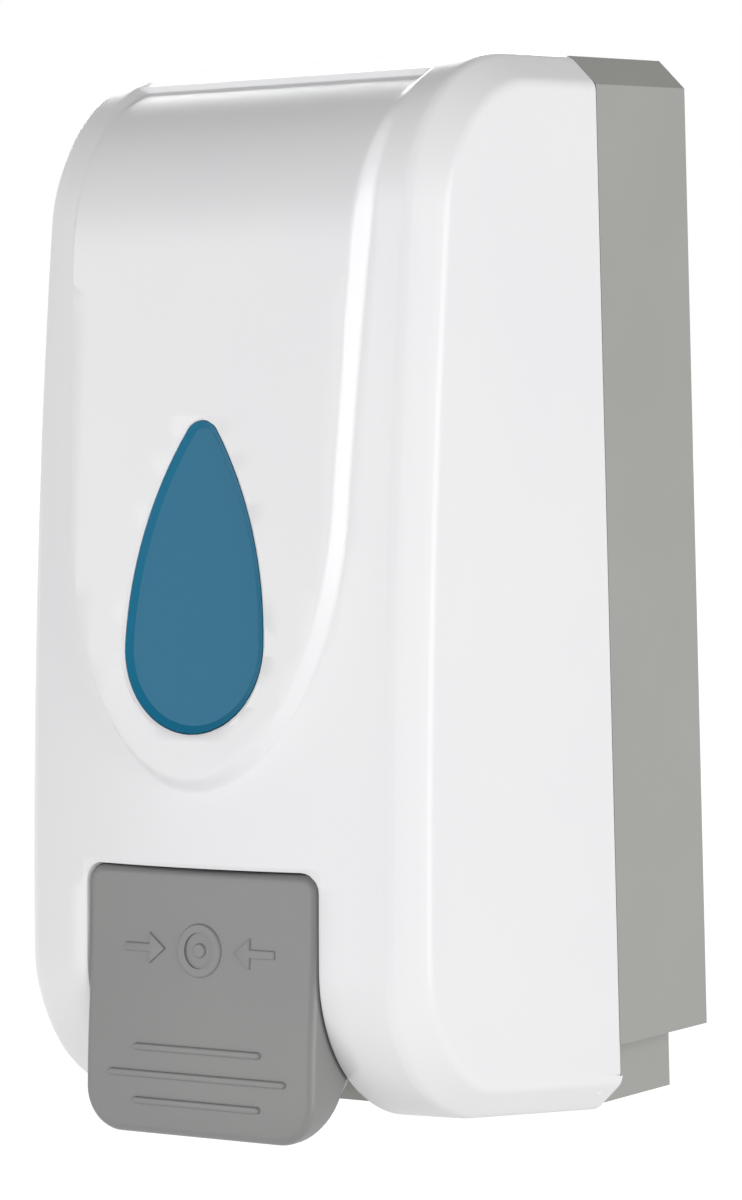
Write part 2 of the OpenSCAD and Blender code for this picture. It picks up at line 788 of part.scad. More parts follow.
module lock_bush() color(steel) at_lock() difference() {
    union() {
        translate([0, 0, boss_z - 5]) cylinder(h = body_h - bush_lip - boss_z + 5, r = bush_r);
        translate([0, 0, body_h - bush_lip]) cylinder(h = bush_lip, r = bush_r + 2);
    }
    cylinder(h = far, r = barrel_r + running);
    translate([0, 0, body_h - 3]) cylinder(h = far, r = barrel_r + 1 + running);
}

module lock_nut() color(steel) at_lock() difference() {
    translate([0, 0, boss_z - 3]) cylinder(h = 3, r = bush_r + 3.5, $fn = 6);
    cylinder(h = far, r = bush_r + fit);
}

module lock_barrel() color(steel) at_lock() difference() {
    union() {
        translate([0, 0, cam_z + cam_h]) cylinder(h = body_h - 0.4 - cam_z - cam_h, r = barrel_r);
        translate([0, 0, body_h - 2.9]) cylinder(h = 2.5, r = barrel_r + 1);
        translate([0, 0, cam_z - 0.2]) cylinder(h = cam_h + 1, r = 3);
    }
    translate([-3.2, -0.8, body_h - 6]) cube([6.4, 1.6, 10]);
    cylinder(h = cam_z + 5, r = screw_r + fit);
}

module lock_cam() color(steel) at_lock() difference() {
    union() {
        translate([0, 0, cam_z]) cylinder(h = cam_h - fit, r = 6);
        translate([-cam_w / 2, -tongue, cam_z]) cube([cam_w, tongue, cam_h - fit]);
    }
    cylinder(h = far, r = 3 + fit);
}

module cam_screw() color(steel) at_lock() translate([0, 0, cam_z - 0.2]) mirror([0, 0, 1]) screw(5);

// ---------- assembly ----------

module at_mount() translate([0, 0, -mount_z]) children();

at_mount() rear_housing();
at_mount() base_block();
at_mount() block_screws();
at_mount() tank_shelf();
at_mount() shelf_screws();
at_mount() cover_hinge_pins();
at_mount() tank();
at_mount() tank_lid();
at_mount() lid_seal();
at_mount() outlet_seal();
at_mount() pump_nut();
at_mount() pump_body();
at_mount() pump_cap();
at_mount() inlet_valve();
at_mount() pump_spring();
at_mount() plunger();
at_mount() piston();
at_mount() piston_seal();
at_mount() nozzle_tip();
at_mount() outlet_valve();
at_mount() front_cover();
at_mount() level_window();
at_mount() lever_pin();
at_mount() lever_pin_clips();
at_mount() push_lever();
at_mount() lock_bush();
at_mount() lock_nut();
at_mount() lock_barrel();
at_mount() lock_cam();
at_mount() cam_screw();
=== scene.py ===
# %% [markdown]
# # A wall mounted soap dispenser
# The real object is made of injection moulded plastic: a white cover with a raised panel and a
# tinted window, a grey push lever below it, and a grey housing that is screwed to the wall. Inside
# are a bottle-like tank and a plunger pump. The cover, the window and the lever are modelled again
# here, with more detail than the CAD model holds. The other parts keep their CAD shapes and take a
# finish, and four of them get softened edges.

# %% Load the frame
import math

import bmesh
import bpy
from mathutils import Matrix, Vector
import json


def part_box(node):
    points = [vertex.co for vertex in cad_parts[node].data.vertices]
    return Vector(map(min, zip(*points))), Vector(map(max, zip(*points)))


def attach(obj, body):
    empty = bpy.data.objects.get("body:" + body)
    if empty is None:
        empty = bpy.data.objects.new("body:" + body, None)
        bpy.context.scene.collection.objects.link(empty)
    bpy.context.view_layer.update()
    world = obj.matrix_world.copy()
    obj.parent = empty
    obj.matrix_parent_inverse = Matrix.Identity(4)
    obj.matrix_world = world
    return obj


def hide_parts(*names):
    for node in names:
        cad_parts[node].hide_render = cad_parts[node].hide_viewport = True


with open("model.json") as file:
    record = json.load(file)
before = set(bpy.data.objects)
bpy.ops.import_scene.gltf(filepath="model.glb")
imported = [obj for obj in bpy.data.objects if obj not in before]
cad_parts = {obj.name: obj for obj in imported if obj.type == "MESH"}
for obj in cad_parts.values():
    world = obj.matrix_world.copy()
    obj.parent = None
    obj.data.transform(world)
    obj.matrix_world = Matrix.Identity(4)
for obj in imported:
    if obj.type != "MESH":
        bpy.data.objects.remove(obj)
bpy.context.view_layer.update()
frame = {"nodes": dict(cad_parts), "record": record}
nodes = frame["nodes"]

# %% [markdown]
# ## Working in millimetres
# The drawing sizes below are in millimetres, as a toolmaker would write them. A place is given by
# `x`, across the object, by its depth in front of the wall and by its height above the foot of the
# cover. Blender wants metres, and the frame has its origin at the wall screws, so one matrix turns
# a drawn piece into a placed one.

# %% Drawing units
MM = 0.001
cover_low, cover_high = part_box("front_cover")
lever_low, lever_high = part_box("push_lever")
half_w = cover_high.x / MM
cover_h = (cover_high.z - cover_low.z) / MM
to_place = Matrix.Translation((0, 0, cover_low.z)) @ Matrix.Scale(MM, 4)


def at(x, depth, height):
    """A point of the drawing, in millimetres, as a vector."""
    return Vector((x, -depth, height))


def height_of(z):
    """A height in the frame, in metres, as a height in the drawing."""
    return (z - cover_low.z) / MM


print("cover", round(2 * half_w, 1), "mm wide and", round(cover_h, 1), "mm high")

# %% [markdown]
# ## Finishes
# Each finish starts from the real material and from how its surface was made. A small helper adds
# one shader node and links its inputs, and another turns the usual screen colours, which are
# written in sRGB, into the linear values that the renderer works with.

# %% Shader helpers


def colour(hex_code):
    """An sRGB colour such as #c0ffee as linear red, green, blue and alpha."""
    channels = [int(hex_code[i : i + 2], 16) / 255 for i in (1, 3, 5)]
    return [c / 12.92 if c <= 0.04045 else ((c + 0.055) / 1.055) ** 2.4 for c in channels] + [1.0]


def add(material, kind, inputs=None, **settings):
    """Adds a shader node. An input is either a number or colour, or the output socket that feeds it."""
    tree = material.node_tree
    node = tree.nodes.new(kind)
    for name, value in settings.items():
        setattr(node, name, value)
    for name, value in (inputs or {}).items():
        if isinstance(value, bpy.types.NodeSocket):
            tree.links.new(value, node.inputs[name])
        else:
            node.inputs[name].default_value = value
    return node


def new_material(name, **shader):
    """A material with one Principled shader, and that shader's node."""
    material = bpy.data.materials.new(name)
    material.use_nodes = True
    principled = material.node_tree.nodes["Principled BSDF"]
    for socket, value in shader.items():
        principled.inputs[socket.replace("_", " ")].default_value = value
    return material, principled


def noise(material, size_mm, detail=2.0, stretch=(1, 1, 1)):
    """Cloudy noise whose blobs are about size_mm across, as a node."""
    place = add(material, "ShaderNodeTexCoord").outputs["Object"]
    scaled = add(material, "ShaderNodeMapping", {"Vector": place, "Scale": stretch})
    return add(
        material,
        "ShaderNodeTexNoise",
        {"Vector": scaled.outputs["Vector"], "Scale": 1 / (size_mm * MM), "Detail": detail},
    )


def spread(material, factor, low, high):
    """Maps a pattern that stays around the middle of 0 to 1 onto low to high."""
    ramp = add(
        material,
        "ShaderNodeMapRange",
        {"Value": factor, "From Min": 0.3, "From Max": 0.7, "To Min": low, "To Max": high},
    )
    return ramp.outputs["Result"]


def link(material, output, socket):
    material.node_tree.links.new(output, socket)


def roughen(material, principled, pattern, depth_mm):
    """Lets a pattern stand out from the surface by depth_mm, for the shading only."""
    bump = add(material, "ShaderNodeBump", {"Height": pattern, "Distance": depth_mm * MM})
    link(material, bump.outputs["Normal"], principled.inputs["Normal"])


# %% [markdown]
# ### Moulded plastic
# ABS comes out of a steel mould, and its surface is the mould's surface: polished steel gives a
# gloss with a very faint ripple, and spark eroded steel gives a fine even grain. The resin's colour
# goes right through, so a wide range of tone on it would look like dirt. Two nearly equal colours
# in slow clouds are enough. The grain of a real mould is about a tenth of a millimetre, which is
# too fine to show, so it is drawn at a little over half a millimetre. The gloss is the mould's own,
# so it is the same all over a new piece.

# %% Moulded plastics


def moulded(name, hex_light, hex_dark, rough, grain_mm, grain_depth_mm, **shader):
    """A plastic straight from the mould: two close tones, an even gloss and an even grain."""
    material, principled = new_material(name, Roughness=rough, IOR=1.54, **shader)
    tones = add(
        material,
        "ShaderNodeMix",
        {
            "Factor": spread(material, noise(material, 55, 3).outputs["Fac"], 0, 1),
            "A": colour(hex_light),
            "B": colour(hex_dark),
        },
        data_type="RGBA",
    )
    link(material, tones.outputs[2], principled.inputs["Base Color"])
    roughen(material, principled, noise(material, grain_mm, 2).outputs["Fac"], grain_depth_mm)
    return material


white_abs = moulded("white_abs_polished_mould", "#f1f1f2", "#efeff1", 0.34, 6, 0.02)
grey_abs = moulded("grey_abs_eroded_mould", "#a3a39f", "#9e9e9a", 0.45, 0.6, 0.02)
lever_abs = moulded("lever_abs_eroded_mould", "#868685", "#828282", 0.4, 0.6, 0.02)
tank_pe = moulded("milky_polyethylene", "#dfe4e3", "#d6dcdb", 0.35, 3, 0.05, Subsurface_Weight=0.25)
pump_pp = moulded("natural_polypropylene", "#d9d8d2", "#d3d2cc", 0.35, 0.8, 0.01, Subsurface_Weight=0.1)
seal_rubber = moulded("moulded_rubber", "#2b2b2d", "#262628", 0.6, 0.6, 0.02)

# %% [markdown]
# ### The tinted window
# The window is acrylic, dyed a deep teal, so that the soap's level can be made out behind it.
# Acrylic's surface is as smooth as glass. The face lets some light in. The bevel round it gets a
# darker, stronger copy of the same acrylic, which is painted shade for the shade that lies on the
# sloping bevel.

# %% Window finishes


def tinted_acrylic(name, hex_code, clear):
    material, principled = new_material(
        name,
        Base_Color=colour(hex_code),
        Roughness=0.12,
        IOR=1.49,
        Specular_IOR_Level=0.15,
        Transmission_Weight=clear,
    )
    roughen(material, principled, noise(material, 9, 1).outputs["Fac"], 0.02)
    return material


window_face = tinted_acrylic("teal_acrylic_face", "#1a7497", 0.06)
# The bevel's darker, stronger teal is painted shade for its sloping ring, not a different plastic.
window_bevel_painted_shade = tinted_acrylic("teal_acrylic_bevel_painted_shade", "#0d6284", 0.08)

# %% [markdown]
# ### Metals
# A drawn pin has fine scratches round and along it, zinc plate is softer and a little uneven, and
# chrome is a mirror over whatever lies under it. In all three the colour belongs to the reflection,
# so metallic is 1.

# %% Metals


def metal(name, hex_code, rough, scratch_mm, stretch, depth_mm):
    material, principled = new_material(name, Base_Color=colour(hex_code), Metallic=1.0)
    scratches = noise(material, scratch_mm, 3, stretch).outputs["Fac"]
    sheen = spread(material, scratches, rough - 0.06, rough + 0.06)
    link(material, sheen, principled.inputs["Roughness"])
    roughen(material, principled, scratches, depth_mm)
    return material


pin_steel = metal("drawn_stainless_pin", "#b9b9bb", 0.28, 0.5, (0.05, 1, 1), 0.005)
spring_steel = metal("stainless_spring_wire", "#a3a3a6", 0.3, 0.5, (1, 1, 1), 0.005)
zinc_steel = metal("zinc_plated_steel", "#b6b7bb", 0.38, 1.5, (1, 1, 1), 0.01)
lock_chrome = metal("chrome_plated_zamak", "#c9cacc", 0.1, 12, (1, 1, 1), 0.002)

# %% [markdown]
# ## From a bmesh to a piece
# A finished bmesh becomes an object at the origin, with its place in its mesh. Faces that meet at a
# small angle share their shading, and sharper edges stay crisp. The piece then rides on a body of
# the frame, takes its finishes, and stands for the CAD nodes that it replaces.

# %% Finishing a piece


def verts_in(geometry):
    """The vertices in the list of new geometry that a bmesh operator returns."""
    return [item for item in geometry if isinstance(item, bmesh.types.BMVert)]


def round_over(bm, edges, radius, segments, **settings):
    """Rounds edges with a bevel."""
    bmesh.ops.bevel(
        bm,
        geom=edges,
        offset=radius,
        segments=segments,
        profile=0.5,
        affect="EDGES",
        material=-1,
        **settings,
    )


def piece(bm, name, body, materials, stands_for=(), sharp=32):
    """Turns a drawn bmesh, in millimetres, into a placed piece of the object."""
    bmesh.ops.recalc_face_normals(bm, faces=bm.faces[:])
    bmesh.ops.transform(bm, matrix=to_place, verts=bm.verts[:])
    mesh = bpy.data.meshes.new(name)
    bm.to_mesh(mesh)
    bm.free()
    return show(mesh, name, body, materials, stands_for, sharp)


def show(mesh, name, body, materials, stands_for, sharp):
    mesh.materials.clear()
    for material in materials:
        mesh.materials.append(material)
    mesh.shade_smooth()
    mesh.set_sharp_from_angle(angle=math.radians(sharp))
    new = bpy.data.objects.new(name, mesh)
    bpy.context.scene.collection.objects.link(new)
    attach(new, body)
    if stands_for:
        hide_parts(*stands_for)
    print(name, "has", len(mesh.polygons), "faces")
    return new


# %% [markdown]
# ## The white cover
# The real cover is one thin shell. It could be cut out of a block with booleans, but then its long
# soft curves would be crossed by stray edges that show in the gloss. Instead it is made the way a
# sheet is pressed: the whole skin is drawn flat, half of it, with every outline on it. The sheet is
# cut into a fine net with straight planes, mirrored, given its thickness, and then each point is
# pressed onto the cover's shape. `u` runs across the flat sheet and `s` runs along the cover's side
# outline, from the foot of its back edge, under the cover, up its front and back over the top. A
# third number, `rise`, says how each point takes part in the raised panel: 0 at the foot of the
# panel's wall, 1 at its top edge, 3 at the window's hole and -2 at the lever's.

# %% Sizes of the cover
wall = 2.5
corner = 7.0
flat_u = half_w - corner
corner_u = flat_u + corner * math.sqrt(2)
soft = 1.7
side_u = corner_u + 12
seam_gap = 0.3
back_d = -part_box("rear_housing")[0].y / MM + seam_gap
front_d = 122.3
crown = 6.0
foot_r, top_r, bow_r = 36.0, 41.0, 1650.0
foot_turn = math.atan(0.11)
front_lean = math.radians(2)


def way(angle):
    """The direction at an angle, in radians from the front, as (depth, height)."""
    return Vector((math.cos(angle), math.sin(angle)))


foot_up = way(foot_turn)
foot_out = way(foot_turn - math.pi / 2)
foot_line = (front_d - foot_r - back_d + foot_r * foot_out.x) / foot_up.x
foot_c = Vector((back_d, 0)) + foot_line * foot_up - foot_r * foot_out
bow_c = foot_c - (bow_r - foot_r) * way(front_lean)
bow_end = math.asin((cover_h - top_r - bow_c.y) / (bow_r - top_r))
top_c = bow_c + (bow_r - top_r) * way(bow_end)
top_line = top_c.x - back_d

# Each arc is (centre, radius, from, to)
arcs = [
    (foot_c, foot_r, foot_turn - math.pi / 2, front_lean),
    (bow_c, bow_r, front_lean, bow_end),
    (top_c, top_r, bow_end, math.pi / 2),
]
arc_lengths = [r * (a1 - a0) for _, r, a0, a1 in arcs]
sheet_s = foot_line + sum(arc_lengths) + top_line
print("the skin is", round(sheet_s), "mm long when it is flat")

# %% [markdown]
# ### The side outline
# The outline is a foot that rises a little towards the front, a round corner, a front that bows
# very slightly, a second round corner and a straight top. `on_outline` walks along it and gives the
# point and the direction that faces outwards there.

# %% The side outline


def on_outline(s):
    """The point (depth, height) at s along the side outline, and the outward direction there."""
    if s <= foot_line:
        return Vector((back_d, 0)) + s * foot_up, foot_out
    s -= foot_line
    for (centre, r, start, _), length in zip(arcs, arc_lengths):
        if s <= length:
            out = way(start + s / r)
            return centre + r * out, out
        s -= length
    return Vector((top_c.x - s, cover_h)), Vector((0, 1))


# %% [markdown]
# ### The raised panel
# The panel is flat and leans back by about six degrees, then rolls over towards the top in an arc of
# its own. At its foot it stands 8 mm in front of the cover's edges, and 2 mm in front of the bulge
# between them. Near the top it dives a millimetre under the skin and ends there at a small ledge.
# `panel_gap` finds how far in front of the skin the panel lies, by stepping outwards until the point
# is on it.

# %% The panel's outline from the side
panel_d, panel_z, lean = 125.0, 115.8, 0.114
panel_r = 45.0
panel_top = cover_h - 3
ledge_d = 84.0
lean_out = Vector((1, lean)).normalized()
lean_up = Vector((-lean, 1)).normalized()
panel_c = Vector((0, panel_top - panel_r))
panel_c.x = panel_d - lean * (panel_c.y - panel_z) - panel_r * math.hypot(1, lean)


def off_panel(p):
    """How far a point lies in front of the panel."""
    from_c = p - panel_c
    if from_c.dot(lean_up) > 0 and from_c.x > 0:
        return from_c.length - panel_r
    return max(from_c.dot(lean_out), from_c.y) - panel_r


ledge_s = foot_line + sum(arc_lengths[:2]) + top_r * (math.acos((ledge_d - top_c.x) / top_r) - bow_end)
ledge_w = 0.7


def panel_gap(s):
    """How far in front of the skin the panel lies at s. Past the ledge it is the skin again."""
    if s > ledge_s + ledge_w:
        return 0.0
    point, out = on_outline(s)
    gap = 0.0
    for _ in range(12):
        gap -= off_panel(point + gap * out)
    return gap * min(1, (ledge_s + ledge_w - s) / ledge_w)


for name, s in (("foot", foot_line + arc_lengths[0] + 40), ("ledge", ledge_s)):
    print("at its", name, "the panel stands", round(panel_gap(s), 1), "mm proud of the cover's edges")

# %% [markdown]
# ### Where an outline goes on the sheet
# The panel, the window and the lever's opening are known from the front, by width and height.
# `sheet_at` turns a height into the place along the sheet that ends up at that height, by halving
# the range until it fits.

# %% From the front view to the sheet


def sheet_at(height, rise):
    low = foot_line
    high = foot_line + sum(arc_lengths)
    for _ in range(30):
        middle = (low + high) / 2
        point, out = on_outline(middle)
        share = min(max(rise, 0), 1)
        if point.y + share * panel_gap(middle) * out.y < height:
            low = middle
        else:
            high = middle
    return low


def curve(cx, cz, rx, rz, start, end, steps):
    """Points along part of an ellipse, in degrees from the right, as (x, height)."""
    turns = [math.radians(start + (end - start) * i / steps) for i in range(steps + 1)]
    return [(cx + rx * math.cos(a), cz + rz * math.sin(a)) for a in turns]


# %% [markdown]
# ### Outlines
# Each outline is drawn for the right half only, from the middle line outwards. The panel ends in
# half an ellipse below, and its sides open out slowly above. The window is a drop: two circles, and
# two large arcs that touch both. The lever's opening has straight sides that run down to the foot,
# which is cut out further back to clear the base block when the cover swings.

# %% Outline of the panel
panel_half, panel_mid, panel_bowl, panel_open = 40.0, 150.0, 67.3, 0.042
wall_plan, wall_plan_foot = 2.2, 2.7


def panel_line(rise):
    """The panel's wall at this rise, from the middle of its foot to the top end of the sheet."""
    rx = panel_half - wall_plan * rise
    rz = panel_bowl - wall_plan_foot * rise
    line = [(x, sheet_at(z, rise)) for x, z in curve(0, panel_mid, rx, rz, -90, 0, 44)]
    line[0] = (0, line[0][1])
    side_s = line[-1][1]
    steps = 40
    for i in range(1, steps + 1):
        s = side_s + (sheet_s - side_s) * i / steps
        line.append((rx + panel_open * min(s - side_s, 70), s))
    return line


# %% Outline of the window
drop_r, tip_r, side_r = 19.8, 5.0, 90.0
drop_z, tip_z = panel_z, 162.2
to_foot, to_tip, rise_z = side_r - drop_r, side_r - tip_r, tip_z - drop_z
climb = (to_foot**2 - to_tip**2 + rise_z**2) / (2 * rise_z)
side_x = -math.sqrt(to_foot**2 - climb**2)
side_z = drop_z + climb
turn_foot = math.degrees(math.atan2(-climb, -side_x))
turn_tip = math.degrees(math.atan2(tip_z - side_z, -side_x))


def drop(grow, steps=16):
    """The window's outline from the middle of its foot round its right side to its tip."""
    line = curve(0, drop_z, drop_r + grow, drop_r + grow, -90, turn_foot, steps)
    line += curve(side_x, side_z, side_r + grow, side_r + grow, turn_foot, turn_tip, steps)[1:]
    return line + curve(0, tip_z, tip_r + grow, tip_r + grow, turn_tip, 90, steps)[1:]


# %% Outline of the lever's opening
lever_gap = 0.6
notch_w = lever_high.x / MM + lever_gap
notch_top = height_of(lever_high.z) + lever_gap
notch_r = 4.6
block_low, block_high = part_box("base_block")
side_slack, swing_slack = 0.5, 1.2
clear_w = block_high.x / MM + side_slack
clear_s = (-block_low.y / MM + swing_slack - back_d) / foot_up.x


def notch(grow):
    """The opening's edge, from the middle of its top down to the foot and round the block."""
    r = notch_r + grow
    top = [(0, notch_top + grow)] + curve(notch_w + grow - r, notch_top + grow - r, r, r, 90, 0, 6)
    line = [(x, sheet_at(z, 0)) for x, z in top]
    corners = [(notch_w, clear_s), (clear_w, clear_s), (clear_w, -grow)]
    return line + [(x + grow, s + grow) for x, s in corners]


# %% [markdown]
# ### Drawing the sheet
# The bands between neighbouring outlines become faces. A bmesh layer stores each corner's rise, and
# the cuts that follow share it out along the edges that they split, so every new point knows where
# it belongs.

# %% The flat half sheet
sheet = bmesh.new()
rise_of = sheet.verts.layers.float.new("rise")


def draw(line, rise):
    """Draws the points of an outline on the sheet and returns them."""
    points = []
    for u, s in line:
        vert = sheet.verts.new((u, s, 0))
        vert[rise_of] = rise
        points.append(vert)
    return points


def on_sheet(line, rise):
    return [(x, sheet_at(z, rise)) for x, z in line]


hole = draw([(max(x, 0), s) for x, s in on_sheet(drop(0.25), 1)], 3)
hole_rim = draw([(max(x, 0), s) for x, s in on_sheet(drop(1.0), 1)], 2)
panel_rises = [1.2, 1.0, 0.8, 0.5, 0.2, 0.0, -0.2]
panel_lines = [draw(panel_line(rise), rise) for rise in panel_rises]
notch_rim = draw(notch(0.9), -1)
notch_edge = draw(notch(0), -2)
outside = draw([(side_u, 0), (side_u, sheet_s)], -1)
middle_top = draw([(0, sheet_s)], 1.2)

sheet.faces.new(hole_rim + hole[::-1])
sheet.faces.new(panel_lines[0] + middle_top + hole_rim[::-1])
for inner, outer in zip(panel_lines, panel_lines[1:]):
    sheet.faces.new(outer + inner[::-1])
sheet.faces.new(notch_rim + outside + panel_lines[-1][::-1])
sheet.faces.new(notch_edge + notch_rim[::-1])
print("the flat half sheet has", len(sheet.faces), "bands")

# %% [markdown]
# ### Cutting the net
# A band that spans a curve would stay straight between its corners, so straight planes cut the
# sheet before it is bent. The lines lie close together where the skin turns tightly, at its
# corners, and wide apart where it is nearly flat.

# %% Cut lines


def steps_between(start, end, longest):
    """Evenly spaced places strictly between two ends, and the far end."""
    count = max(1, math.ceil((end - start) / longest))
    return [start + (end - start) * i / count for i in range(1, count + 1)]


cuts_u = steps_between(0, flat_u - soft, 5)
cuts_u += steps_between(flat_u - soft, flat_u + soft, 0.6)
cuts_u += steps_between(flat_u + soft, corner_u - soft, 3)
cuts_u += steps_between(corner_u - soft, corner_u + soft, 0.6)
cuts_u += steps_between(corner_u + soft, side_u, 4)
cuts_s = steps_between(0, foot_line, 9)
for (_, r, _, _), length in zip(arcs, arc_lengths):
    cuts_s += steps_between(cuts_s[-1], cuts_s[-1] + length, 2 if r < 100 else 4)
cuts_s += [ledge_s + ledge_w * i / 4 for i in range(-1, 6)]
cuts_s += steps_between(foot_line + sum(arc_lengths), sheet_s, 5)


def cut(bm, point, normal):
    geometry = bm.verts[:] + bm.edges[:] + bm.faces[:]
    bmesh.ops.bisect_plane(bm, geom=geometry, dist=0.001, plane_co=point, plane_no=normal)


for u in cuts_u[:-1]:
    cut(sheet, (u, 0, 0), (1, 0, 0))
for s in cuts_s[:-1]:
    cut(sheet, (0, s, 0), (0, 1, 0))
print("after", len(cuts_u) + len(cuts_s), "cuts it has", len(sheet.faces), "faces")

# %% [markdown]
# ### Both halves, and a thickness
# The mirrored half shares the points on the middle line. An extrusion of the whole sheet gives the
# inside of the wall and its rim. It is drawn at minus the wall's thickness, and that is how the
# press tells it apart.

# %% Mirror and thicken
half_sheet = sheet.verts[:] + sheet.edges[:] + sheet.faces[:]
bmesh.ops.mirror(sheet, geom=half_sheet, merge_dist=0.001, axis="X")
bmesh.ops.remove_doubles(sheet, verts=sheet.verts[:], dist=0.01)
bmesh.ops.recalc_face_normals(sheet, faces=sheet.faces[:])
outer_faces = sheet.faces[:]
inner = bmesh.ops.extrude_face_region(sheet, geom=outer_faces, use_keep_orig=True)
bmesh.ops.translate(sheet, verts=verts_in(inner["geom"]), vec=(0, 0, -wall))
print("with its inside and rim it has", len(sheet.faces), "faces")

# %% [markdown]
# ### The press
# Across the cover the skin runs flat to the chamfer, down the chamfer and then straight back along
# the side. The two folds are rounded by a short curve between the straight stretches. `across`
# gives the width and the sink below the front at `u`, and past the second fold it gives the share
# of the way back to the housing.

# %% The section across the cover


def rounded(a, corner_point, b, share):
    """A point of the round curve from a to b that a corner point pulls outwards."""
    return a.lerp(corner_point, share).lerp(corner_point.lerp(b, share), share)


def across(u, skin):
    bevel = (math.sqrt(2) - 1) * skin
    first = Vector((flat_u - bevel, skin))
    second = Vector((half_w - skin, corner + bevel))
    slope = (second - first).normalized()
    start = Vector((first.x - soft, skin))
    if u < flat_u - soft:
        return Vector((u * start.x / (flat_u - soft), skin)), 0
    if u < flat_u + soft:
        share = (u - flat_u + soft) / (2 * soft)
        return rounded(start, first, first + soft * slope, share), 0
    if u < corner_u - soft:
        share = (u - flat_u - soft) / (corner_u - flat_u - 2 * soft)
        return (first + soft * slope).lerp(second - soft * slope, share), 0
    end = second + Vector((0, soft))
    if u < corner_u + soft:
        share = (u - corner_u + soft) / (2 * soft)
        return rounded(second - soft * slope, second, end, share), 0
    return end, (u - corner_u - soft) / (side_u - corner_u - soft)


# %% [markdown]
# The share of the raise grows from 0 to 1 across the panel's wall, with a soft start and end.
# Beyond the top edge it stays 1, and the edges of the two openings roll in by half a millimetre.

# %% Press the sheet


def raised(rise):
    """Share of the panel's gap that a point takes, with fillets at both ends of the wall."""
    t = min(max((rise + 0.2) / 1.4, 0), 1)
    ease = 0.28
    if t < ease:
        return t * t / (2 * ease * (1 - ease))
    if t > 1 - ease:
        return 1 - (1 - t) ** 2 / (2 * ease * (1 - ease))
    return (t - ease / 2) / (1 - ease)


def rolled(rise):
    """How far the edge of an opening rolls in."""
    edge = max(rise - 2, -1 - rise, 0)
    return 0.55 * edge * edge


def press(u, s, layer, rise):
    """Where a point of the flat sheet ends up on the cover."""
    point, out = on_outline(s)
    (x, sink), back = across(abs(u), -layer)
    point = point - sink * out
    share = raised(rise) if layer == 0 else 0
    dome = crown * max(0, 1 - (u / flat_u) ** 2) * (point.x - back_d) / (front_d - back_d)
    point.x += dome * (1 - share)
    if share:
        point += share * panel_gap(s) * out
    if layer == 0:
        point -= rolled(rise) * out
    depth = point.x + (back_d - point.x) * back
    return at(math.copysign(x, u), depth, point.y)


for vert in sheet.verts:
    layer = -wall if vert.co.z < -wall / 2 else 0
    vert.co = press(vert.co.x, vert.co.y, layer, vert[rise_of])
bmesh.ops.remove_doubles(sheet, verts=sheet.verts[:], dist=0.02)
bmesh.ops.dissolve_degenerate(sheet, edges=sheet.edges[:], dist=0.01)
open_edges = [e for e in sheet.edges if len(e.link_faces) != 2]
print("pressed, with", len(open_edges), "open or shared edges")

# %% [markdown]
# ### Eyes and a hook inside the cover
# Four eyes turn or hold pins, and a small hook at the top is what the lock's tongue catches. None of
# them shows until the cover is open, but then they explain how it works. Each eye is a ring with a
# real hole, spun from its half section. The two on the hinge grow out of the side walls, and a block
# ties each of the two for the lever's pin to the front.

# %% Small shapes


def spun(bm, section, centre, axis, steps=36):
    """Turns a closed half section, drawn as (radius, place along the axis), round an axis."""
    side = Vector((0, 0, 1)) if abs(axis.z) < 0.5 else Vector((1, 0, 0))
    verts = [bm.verts.new(centre + side * r + axis * along) for r, along in section]
    edges = [bm.edges.new((a, b)) for a, b in zip(verts, verts[1:] + verts[:1])]
    bmesh.ops.spin(
        bm, geom=verts + edges, cent=centre, axis=axis, angle=math.tau, steps=steps, use_merge=True
    )


def ring(bm, x0, x1, depth, height, r_in, r_out, soften=0.3):
    """An eye along x: a ring with slightly rounded rims."""
    section = [
        (r_in, x0),
        (r_out - soften, x0),
        (r_out, x0 + soften),
        (r_out, x1 - soften),
        (r_out - soften, x1),
        (r_in, x1),
    ]
    spun(bm, section, at(0, depth, height), Vector((1, 0, 0)))


def block(bm, low, high, round_by=0.3):
    """A block between two corners given as (x, depth, height), with rounded edges."""
    low, high = at(*low), at(*high)
    verts = bmesh.ops.create_cube(bm, size=1)["verts"]
    size = Vector([abs(a) for a in high - low])
    bmesh.ops.scale(bm, vec=size, verts=verts)
    bmesh.ops.translate(bm, vec=(low + high) / 2, verts=verts)
    edges = {e for v in verts for e in v.link_edges}
    round_over(bm, list(edges), round_by, 2)


def plate(bm, outline, x0, x1):
    """A flat piece from a side outline of (depth, height) points, from x0 to x1."""
    face = bm.faces.new([bm.verts.new(at(x0, d, z)) for d, z in outline])
    grown = bmesh.ops.extrude_face_region(bm, geom=[face])["geom"]
    bmesh.ops.translate(bm, verts=verts_in(grown), vec=(x1 - x0, 0, 0))


# %% Eyes, webs and hook
pin_d, pin_z, pin_r = 110.0, 57.0, 2.0
hinge_d, hinge_z, hinge_r = 45.0, 9.0, 2.0
fixed_fit, running_fit = 0.02, 0.05
eye_in = notch_w - lever_gap + 1.5
eye_w, eye_r = 5.0, pin_r + 3
for side in (-1, 1):
    near, far = sorted((side * eye_in, side * (eye_in + eye_w)))
    ring(sheet, near, far, pin_d, pin_z, pin_r + fixed_fit, eye_r)
    block(sheet, (near, pin_d + pin_r + 1, pin_z - eye_r), (far, front_d + 1, pin_z + eye_r))
    near, far = sorted((side * clear_w, side * (half_w - wall + 0.2)))
    ring(sheet, near, far, hinge_d, hinge_z, hinge_r + running_fit, hinge_r + 2.2)
hook_x, hook_w = 13.5, 2.5
lip_back, lip_front, hook_back = 14.0, 18.0, 42.0
lip_foot, arm_foot, arm_top = 232.6, 238.0, 243.0
hook_top = cover_h - wall / 2
